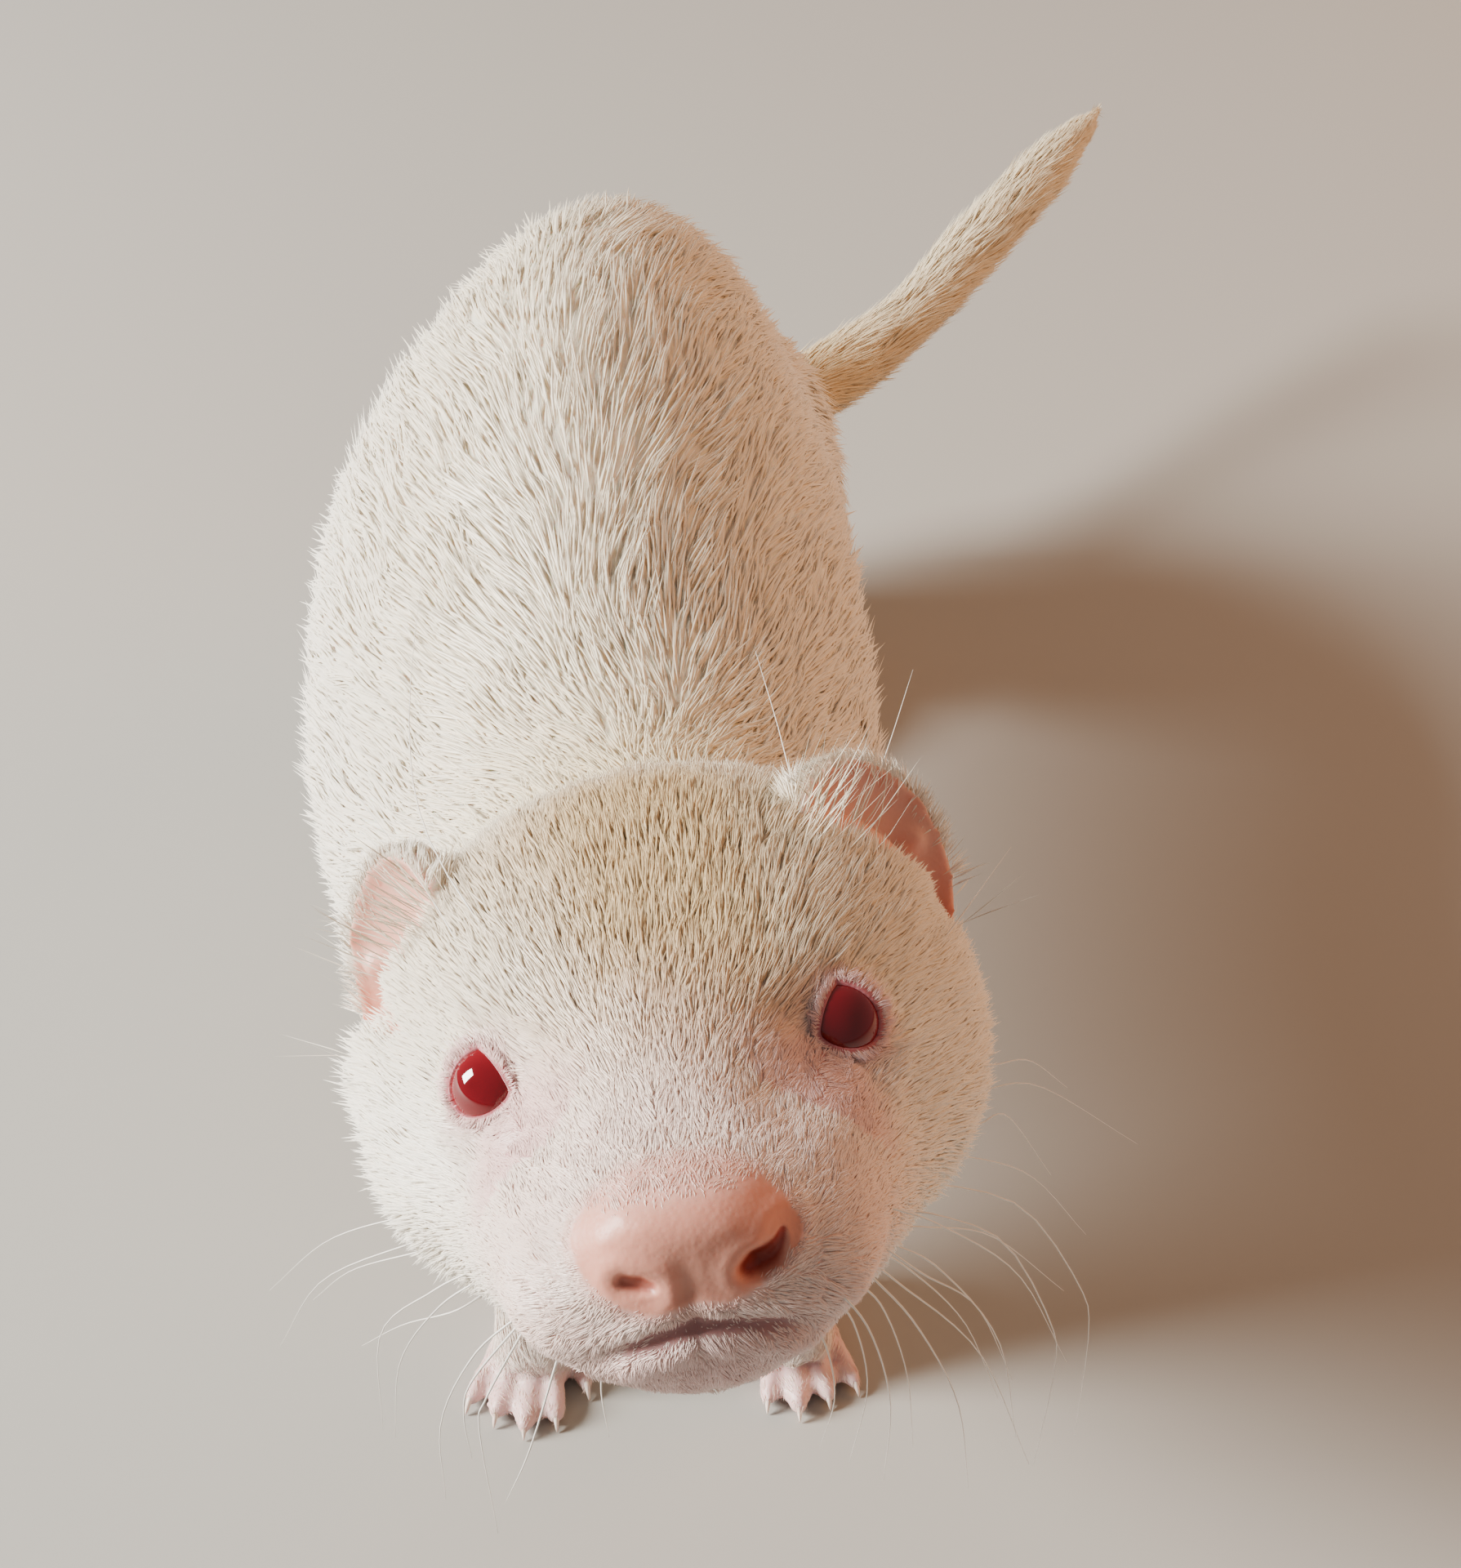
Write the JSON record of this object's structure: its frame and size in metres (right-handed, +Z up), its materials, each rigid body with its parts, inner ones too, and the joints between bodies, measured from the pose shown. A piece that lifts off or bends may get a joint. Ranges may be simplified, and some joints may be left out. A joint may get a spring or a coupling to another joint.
{
  "type": "ferret",
  "caption": "White ferret standing with its head lifted, with red eyes, a pink nose and ears, and its tail held out to one side",
  "frame": {"origin": "centre of the bounding box in plan, on the floor under the feet", "axes": "+Z up, head towards -Y, the animal's left side on +X"},
  "size_m": [0.1472, 0.3846, 0.1493],
  "materials": {
    "coat": "matte",
    "tail_coat": "matte",
    "paw_skin": "satin",
    "nose_skin": "satin",
    "ear_skin": "satin",
    "eye": "gloss"
  },
  "bodies": {
    "root": {"head": "coat", "lower_jaw": "coat", "nose": "nose_skin", "ear_left": "ear_skin", "ear_right": "ear_skin", "eye_left": "eye", "eye_right": "eye", "neck": "coat", "chest": "coat", "belly": "coat", "rump": "coat", "tail_base": "tail_coat", "tail_tip": "tail_coat", "foreleg_left": "coat", "foreleg_right": "coat", "forepaw_left": "paw_skin", "forepaw_right": "paw_skin", "hindleg_left": "coat", "hindleg_right": "coat", "hindfoot_left": "paw_skin", "hindfoot_right": "paw_skin"}
  },
  "joints": []
}
